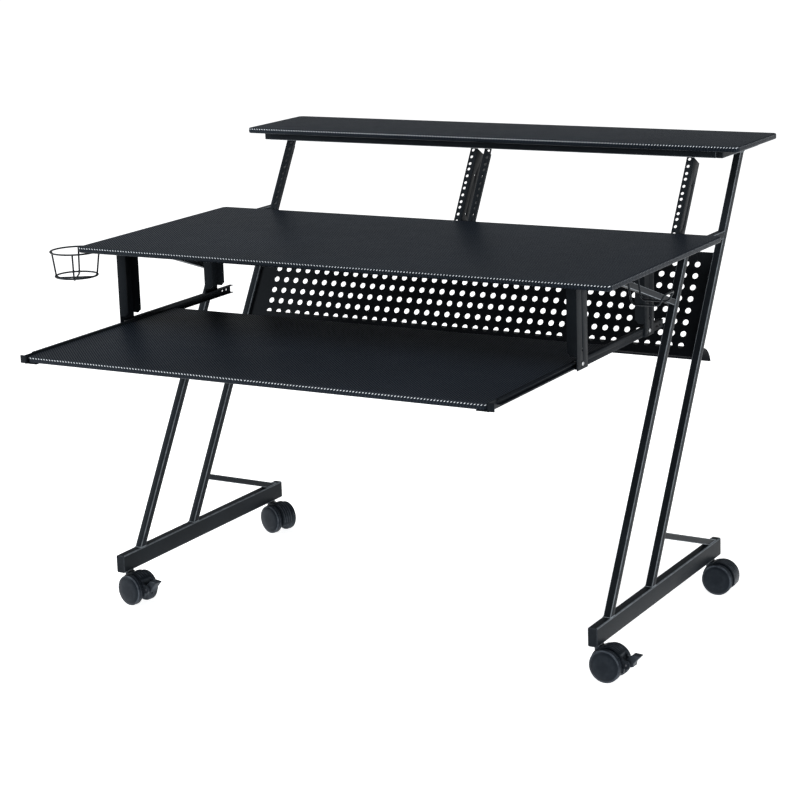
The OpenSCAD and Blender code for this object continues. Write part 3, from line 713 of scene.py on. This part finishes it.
def cap(bm, x, y, z, half_w, half_h, out, radius):
    """Pushed-in plastic cap with a rounded outer edge and a shallow dished face."""
    levels = [(0.0, 0.05), (0.9, 0.0), (1.5, 0.25), (1.85, 0.7), (2.0, 1.3), (1.75, 2.6)]

    def outline(inset):
        return rounded_rectangle(half_w - inset, half_h - inset, max(radius - inset * 0.6, 0.6), 5)

    slab(bm, outline, levels, lambda u, v, h: at(x + u, y + out * h, z + v))


bm = bmesh.new()
for side in (-1, 1):
    x = side * FRAME_X
    for y, out in ((RAIL_Y0, -1), (RAIL_Y1, 1)):
        cap(bm, x, y, RAIL_MIDDLE, RAIL_HALF_X, RAIL_HALF_Z, out, RAIL_ROUND)
    cap(bm, x, TOP_RAIL_FRONT, TOP_RAIL_MIDDLE, POST_HALF, POST_HALF, -1, POST_ROUND)
    for y, out in ((ARM_FRONT, -1), (ARM_BACK, 1)):
        cap(bm, x, y, ARM_MIDDLE, POST_HALF, ARM_HALF_Z, out, POST_ROUND)
shown("tube_caps_moulded", bm, CAP, "frame", ("tube_end_caps",))

# Each beam's node, depth, under face and upper face
BEAMS = (
    ("front_beam", 40, TOP_RAIL, DESK_UNDER),
    ("rear_beam", 42, TOP_RAIL, DESK_UNDER),
    ("shelf_beam", 40, ARM_LOW, ARM_TOP),
)
for node, deep, z_low, z_high in BEAMS:
    low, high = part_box(node)
    y_middle = ((low.y + high.y) / 2 - ORIGIN.y) / MM
    profile = rounded_rectangle(deep / 2, (z_high - z_low) / 2, POST_ROUND, 4)
    bm = bmesh.new()
    centre = (0, y_middle, (z_low + z_high) / 2)
    tube(bm, profile, centre, ACROSS, BACKWARD, (ACROSS, -INNER_X), (ACROSS, INNER_X))
    frame_tube(node, bm)


# ---------------------------------------------------------------- boards

BOARD_CORNER = 12
BOARD_EDGE = 3.0


def board(node, body):
    """A wrapped board with rounded corners and edges, sized from its CAD node."""
    low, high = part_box(node)
    centre = (low + high) / 2
    half = (high - low) / 2 / MM
    material = woven_wrap(node + "_wrap", high.z, centre)

    def outline(inset):
        return rounded_rectangle(half.x - inset, half.y - inset, BOARD_CORNER - inset, 8)

    def place(u, v, h):
        return Vector((centre.x + u * MM, centre.y + v * MM, low.z + h * MM))

    bm = bmesh.new()
    slab(bm, outline, bevelled_levels(2 * half.z, BOARD_EDGE, 6), place)
    shown(node + "_board", bm, material, body, (node,), smooth=60)


board("desk_top", "frame")
board("top_shelf", "frame")
board("keyboard_tray", "tray")


# ---------------------------------------------------------------- sheet steel

for node in ("rack_rail_left", "rack_rail_center_left", "rack_rail_center_right", "rack_rail_right"):
    softened(node, SHEET, "frame", 0.45)
for side_name, _ in SIDES:
    for end in ("front", "rear"):
        softened(f"{side_name}_{end}_hanger", SHEET, "frame", 0.5)
    softened(side_name + "_slide_channel", SLIDE, "frame", 0.3)
    softened(side_name + "_slide_runner", SLIDE, "tray", 0.3)
    softened(side_name + "_tray_bracket", SHEET, "tray", 0.5)
    softened(side_name + "_slide_cage", AXLE, side_name + "_cage", 0.12)

# The perforated panel is shown as the CAD has it
panel_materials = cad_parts["perforated_panel"].data.materials
panel_materials.clear()
panel_materials.append(PANEL)

# Cable shelf: a level sheet behind the rear posts whose back rolls down
CABLE_THICK = 1.5
CABLE_TOP = 527
BEND_Y, BEND_R = 580, 50
BEND_DROP = 37
BEND_STEPS = 32

y_start = rear_post(CABLE_TOP - CABLE_THICK) + CABLE_THICK / 2 / math.cos(LEAN)
outer = [(y_start + CABLE_THICK * RISE, CABLE_TOP)]
inner = [(y_start, CABLE_TOP - CABLE_THICK)]
last_turn = math.degrees(math.asin(1 - BEND_DROP / BEND_R))
for k in range(BEND_STEPS + 1):
    turn = math.radians(90 - (90 - last_turn) * k / BEND_STEPS)
    for face, radius in ((outer, BEND_R), (inner, BEND_R - CABLE_THICK)):
        face.append((BEND_Y + radius * math.cos(turn), CABLE_TOP - BEND_R + radius * math.sin(turn)))
bm = bmesh.new()
section = outer + list(reversed(inner))
loft(bm, [[at(x, y, z) for y, z in section] for x in (-INNER_X, INNER_X)])
shown("cable_shelf_sheet", bm, PANEL, "frame", ("cable_shelf",), smooth=30)


# ---------------------------------------------------------------- screws

HEAD_STEPS = 40
# (width, height) of a head's rings, as parts of its radius and its height
HEAD_RINGS = ((1.0, 0.0), (1.0, 0.35), (0.93, 0.72), (0.78, 1.0))
UNDER_HEAD = (3.5, 1.6)
HANGER_HEAD = (4.0, 1.5)

TRAY_SCREW_X = 490
TRAY_SCREW_YS = (-250, -90, 90)
TRAY_SEAT = 597
HANGER_BOLT_YS = (51, 361)
HANGER_BOLT_Z = 608.5
HANGER_FACE_X = 520
HANGER_SCREW_X = 509.5
HANGER_SCREW_YS = (22, 80, 332, 390)
HANGER_SEAT = 756
PLATE_SEAT = 755
CUP_SCREWS = ((-570, 37), (-550, 37))
HOOK_SCREWS = ((568, 162), (568, 183))


def pan_head(bm, place, radius, tall):
    """Pan head with a cross recess; place maps (x, y, height above the seat) to the row frame."""
    arm, width = radius * 0.62, radius * 0.17
    rings = [[place(radius * w * c, radius * w * s, tall * h) for c, s in circle(HEAD_STEPS)]
             for w, h in HEAD_RINGS]
    rows = loft(bm, rings, closed_ends=False)
    cross = []
    for c, s in circle(HEAD_STEPS):
        small, large = sorted((abs(c), abs(s)))
        reach = arm if small / large < width / arm else width / small
        cross.append((reach * c, reach * s))
    lip = [bm.verts.new(place(x, y, tall)) for x, y in cross]
    floor = [bm.verts.new(place(x * 0.8, y * 0.8, tall * 0.3)) for x, y in cross]
    skin(bm, rows[-1], lip)
    skin(bm, lip, floor)
    bm.faces.new(floor)
    bm.faces.new(list(reversed(rows[0])))


def under_screw(bm, x, y, z):
    """Screw whose head hangs under a plate at height z."""
    pan_head(bm, lambda u, v, h: at(x + u, y - v, z - h), *UNDER_HEAD)


def hanger_bolt(bm, side, y):
    """Bolt whose head stands on the outer face of a hanger."""
    def place(u, v, h):
        return at(side * (HANGER_FACE_X + h), y + side * u, HANGER_BOLT_Z + v)

    pan_head(bm, place, *HANGER_HEAD)


bm = bmesh.new()
for x in (-TRAY_SCREW_X, TRAY_SCREW_X):
    for y in TRAY_SCREW_YS:
        under_screw(bm, x, y, TRAY_SEAT)
shown("tray_screw_heads", bm, DARK_ZINC, "tray", ("tray_screws",))

bm = bmesh.new()
for side in (-1, 1):
    for y in HANGER_BOLT_YS:
        hanger_bolt(bm, side, y)
    for y in HANGER_SCREW_YS:
        under_screw(bm, side * HANGER_SCREW_X, y, HANGER_SEAT)
for x, y in CUP_SCREWS + HOOK_SCREWS:
    under_screw(bm, x, y, PLATE_SEAT)
shown("frame_bolt_heads", bm, ZINC, "frame", ("frame_bolts",))


# ---------------------------------------------------------------- cup holder and hook

CUP = Vector((-632, 37, 0))
CUP_TOP_R, CUP_TOP_Z = 52, 754
CUP_BASE_R, CUP_BASE_Z = 44, 702
# (radius, height) of half a basket wire, from the upper ring down
BASKET_HALF = (
    (CUP_TOP_R - 2.5, CUP_TOP_Z),
    (CUP_BASE_R - 1.5, CUP_BASE_Z),
    (CUP_BASE_R - 8, CUP_BASE_Z - 4),
)
BASKET_MIDDLE_Z = CUP_BASE_Z - 4.2
# (x, z) of one side of the hook, from the plate down and round to its tip
HOOK_SIDE = ((568, 755), (574, 713), (580, 705), (626, 706), (632, 709), (642, 727))
HOOK_Y0, HOOK_Y1 = 150, 195
CUP_WIRE_R, CUP_BEND = 1.9, 5
HOOK_WIRE_R, HOOK_BEND = 2.0, 9
CUP_PLATE = ((-581, 21, 755), (-540, 53, 758))
HOOK_PLATE = ((556, 142, 755), (582, 203, 758))


def cup_point(direction, radius, z):
    """A point on the cup holder, in mm."""
    return CUP + direction * radius + Vector((0, 0, z))


cup_paths = []
for radius, z in ((CUP_TOP_R, CUP_TOP_Z), (CUP_BASE_R, CUP_BASE_Z)):
    cup_paths.append(([CUP + Vector((radius * c, radius * s, z)) for c, s in circle(72)], True))
for turn in (math.radians(30), math.radians(120)):
    d = Vector((math.cos(turn), math.sin(turn), 0))
    path = [cup_point(d, r, z) for r, z in BASKET_HALF]
    path.append(cup_point(d, 0, BASKET_MIDDLE_Z))
    path += [cup_point(-d, r, z) for r, z in reversed(BASKET_HALF)]
    cup_paths.append((path, False))
wire("cup_holder_wire", cup_paths, CUP_WIRE_R, CUP_BEND, *CUP_PLATE, "cup_holder")

hook_path = [(x, HOOK_Y0, z) for x, z in HOOK_SIDE] + [(x, HOOK_Y1, z) for x, z in reversed(HOOK_SIDE)]
wire("headphone_hook_wire", [(hook_path, False)], HOOK_WIRE_R, HOOK_BEND, *HOOK_PLATE, "headphone_hook")


# ---------------------------------------------------------------- casters

CASTER_FRONT_Y, CASTER_REAR_Y = 47, 605
WHEEL_R, TRAIL = 32.5, 22
HOOD_R = 35.5
# The lever's pin, from the stem's foot while the caster trails towards +X
PIVOT_X, PIVOT_Z = 61, 38
RIB_OFFSETS = (-9.5, -3.2, 3.2, 9.5)
RIB_STEPS = 28
RIB_HIGH = 0.55
# Where the ribs run round the rim, in degrees; the front run stops short of a lever
RIB_FRONT_END, RIB_BACK = 112, (150, 186)
RIB_START_BRAKED, RIB_START_PLAIN = 52, -8

# (radius, distance along the axis) pairs
WHEEL_PROFILE = (
    (3.1, 15), (8, 15), (8.6, 15.9), (12, 16.1), (28.8, 16.1), (29.6, 15.1), (31.2, 15.2), (32.1, 15.8),
    (32.5, 16.9), (32.5, 20.2), (32.1, 20.6), (32.1, 21.4), (32.5, 21.8), (32.5, 25.6), (32.2, 26.6),
    (31.5, 27.2), (30.4, 27.5), (29.8, 27.2), (29.3, 27.2), (28.9, 27.6), (28.2, 28.3), (26.5, 29.0),
    (21.5, 29.9), (15, 30.6), (8, 30.9), (0, 31.0),
)
STEM_PROFILE = (
    (3.9, 52), (4.0, 53), (4.0, 65.6), (7.0, 65.9), (8.0, 66.6), (8.0, 69.4), (7.4, 70), (5.4, 70),
    (5.4, 88), (4.6, 90),
)
AXLE_PROFILE = ((2.6, -22), (3.0, -21.5), (3.0, 21.5), (2.6, 22))
LEVER_PIN_PROFILE = ((1.6, -14.9), (2.6, -14.4), (2.6, 14.4), (1.6, 14.9))

# Grip bars on the pedal, which falls away from where it starts
GRIPS, GRIP_START, GRIP_STEP = 4, 73, 3.4
GRIP_HALF_X, GRIP_HALF_Y = 0.6, 7.6
GRIP_UNDER, GRIP_OVER, GRIP_ROUND = 0.5, 0.45, 0.4
PEDAL_START, PEDAL_TOP, PEDAL_FALL = 71, 57.4, 1 / 16


def rib(bm, x, y, offset, start, end):
    """Low moulded rib that follows the hood's rim from one angle to another."""
    rings = []
    for k in range(RIB_STEPS + 1):
        turn = math.radians(start + (end - start) * k / RIB_STEPS)
        rise = RIB_HIGH * min(1.0, 4 * k / RIB_STEPS, 4 * (RIB_STEPS - k) / RIB_STEPS)
        c, s = math.cos(turn), math.sin(turn)
        rings.append([at(x + TRAIL + (HOOD_R + h) * c, y + offset + w, WHEEL_R + (HOOD_R + h) * s)
                      for w, h in ((-1.1, -0.4), (-0.7, rise), (0.7, rise), (1.1, -0.4))])
    loft(bm, rings)


def grips(bm, x, y):
    """Grip bars across the pedal."""
    for k in range(GRIPS):
        reach = GRIP_START + k * GRIP_STEP
        z = PEDAL_TOP - (reach - PEDAL_START) * PEDAL_FALL
        box(bm, (x + reach - GRIP_HALF_X, y - GRIP_HALF_Y, z - GRIP_UNDER),
            (x + reach + GRIP_HALF_X, y + GRIP_HALF_Y, z + GRIP_OVER), GRIP_ROUND)


def caster(corner, side, y, braked, parked):
    """One twin-wheel caster, built trailing towards +X and then turned about its stem."""
    x = side * FRAME_X
    turned = Matrix.Rotation(math.radians(parked), 3, "Z")

    def finished(name, bm, material, body, nodes, smooth=35):
        bmesh.ops.rotate(bm, cent=at(x, y, 0), matrix=turned, verts=bm.verts)
        shown(corner + name, bm, material, body, nodes, smooth)

    bm = bmesh.new()
    spin(bm, STEM_PROFILE, (x, y, 0), "Z", 40)
    finished("_stem_pin", bm, AXLE, "frame", (corner + "_stem",))

    hood = softened(corner + "_hood", CASTER, corner + "_caster", 0.9, segments=3)
    bm = bmesh.new()
    for offset in RIB_OFFSETS:
        rib(bm, x, y, offset, RIB_START_BRAKED if braked else RIB_START_PLAIN, RIB_FRONT_END)
        rib(bm, x, y, offset, *RIB_BACK)
    finished("_hood_ribs", bm, CASTER, corner + "_caster", ())
    bm = bmesh.new()
    spin(bm, AXLE_PROFILE, (x + TRAIL, y, WHEEL_R), "Y", 32)
    if braked:
        spin(bm, LEVER_PIN_PROFILE, (x + PIVOT_X, y, PIVOT_Z), "Y", 32)
    finished("_axle_pin", bm, DARK_ZINC, corner + "_caster", ())

    bm = bmesh.new()
    for sign in (-1, 1):
        spin(bm, WHEEL_PROFILE, (x + TRAIL, y, WHEEL_R), "Y", 96, sign)
    finished("_wheel_pair", bm, TREAD, corner + "_wheel_pair", (corner + "_wheels",),
             smooth=30)

    if braked:
        pedal = softened(corner + "_brake", CASTER, corner + "_lever", 0.8, segments=3,
                         name=corner + "_brake_pedal")
        bm = bmesh.new()
        grips(bm, x, y)
        finished("_pedal_grips", bm, CASTER, corner + "_lever", ())


caster("front_left", -1, CASTER_FRONT_Y, True, -11)
caster("front_right", 1, CASTER_FRONT_Y, True, -2)
caster("rear_left", -1, CASTER_REAR_Y, False, -17)
caster("rear_right", 1, CASTER_REAR_Y, False, 2)


# ---------------------------------------------------------------- stage, light and camera

FLOOR_HALF = 60
FLOOR_GREY = 0.93
FLOOR_GLOW = 0.86
WORLD_COLOUR = (0.93, 0.97, 1.0, 1)
WORLD_STRENGTH = 0.24

n = Nodes("pale_floor")
pale_floor = n.set(
    color=n.shades(n.noise(3, 2), (FLOOR_GREY, FLOOR_GREY, FLOOR_GREY), 0.995),
    rough=0.9,
    spec=0.0,
    glow=(1.0, 1.0, 1.0, 1),
    glow_power=FLOOR_GLOW,
)
floor_corners = [(x * FLOOR_HALF, y * FLOOR_HALF, 0) for x, y in ((-1, -1), (1, -1), (1, 1), (-1, 1))]
floor_mesh = bpy.data.meshes.new("floor")
floor_mesh.from_pydata(floor_corners, [], [(0, 1, 2, 3)])
floor_mesh.materials.append(pale_floor)
floor_obj = bpy.data.objects.new("floor", floor_mesh)
bpy.context.scene.collection.objects.link(floor_obj)
floor_obj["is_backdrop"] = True

world = bpy.data.worlds.new("studio")
bpy.context.scene.world = world
world.use_nodes = True
world.node_tree.nodes["Background"].inputs[0].default_value = WORLD_COLOUR
world.node_tree.nodes["Background"].inputs[1].default_value = WORLD_STRENGTH

target = (cad_low + cad_high) / 2


def area_light(name, place, width, height, power):
    """A rectangular light aimed at the desk's middle."""
    data = bpy.data.lights.new(name, "AREA")
    data.shape = "RECTANGLE"
    data.size = width
    data.size_y = height
    data.energy = power
    obj = bpy.data.objects.new(name, data)
    bpy.context.scene.collection.objects.link(obj)
    obj.location = Vector(place)
    obj.rotation_euler = (target - Vector(place)).to_track_quat("-Z", "Y").to_euler()


area_light("overhead", (-0.6, -0.6, 4.2), 4.0, 4.0, 110)
area_light("left_key", (-4.2, -2.6, 2.4), 1.4, 2.4, 120)
area_light("right_strip", (4.4, -1.0, 2.0), 0.3, 2.4, 75)

CAMERA_PLACE = at(2280.31, -3681.51, 1568.87)
YAW, PITCH, ROLL = math.radians(29.93), math.radians(-12.40), math.radians(-1.92)
LENS, SENSOR_WIDTH = 102.6441, 36
VERTICAL_SHIFT = -0.075
NEAR, FAR = 0.05, 200

forward = Vector((-math.sin(YAW) * math.cos(PITCH), math.cos(YAW) * math.cos(PITCH), math.sin(PITCH)))
level = Vector((math.cos(YAW), math.sin(YAW), 0))
upward = level.cross(forward)
right = level * math.cos(ROLL) + upward * math.sin(ROLL)
up = upward * math.cos(ROLL) - level * math.sin(ROLL)
camera_data = bpy.data.cameras.new("photo_view")
camera_data.sensor_width = SENSOR_WIDTH
camera_data.lens = LENS
camera_data.shift_y = VERTICAL_SHIFT
camera_data.clip_start = NEAR
camera_data.clip_end = FAR
camera = bpy.data.objects.new("photo_view", camera_data)
bpy.context.scene.collection.objects.link(camera)
camera.matrix_world = Matrix((
    (right.x, up.x, -forward.x, CAMERA_PLACE.x),
    (right.y, up.y, -forward.y, CAMERA_PLACE.y),
    (right.z, up.z, -forward.z, CAMERA_PLACE.z),
    (0, 0, 0, 1)))
bpy.context.scene.camera = camera
bpy.context.scene.view_settings.view_transform = "Standard"

low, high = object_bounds()
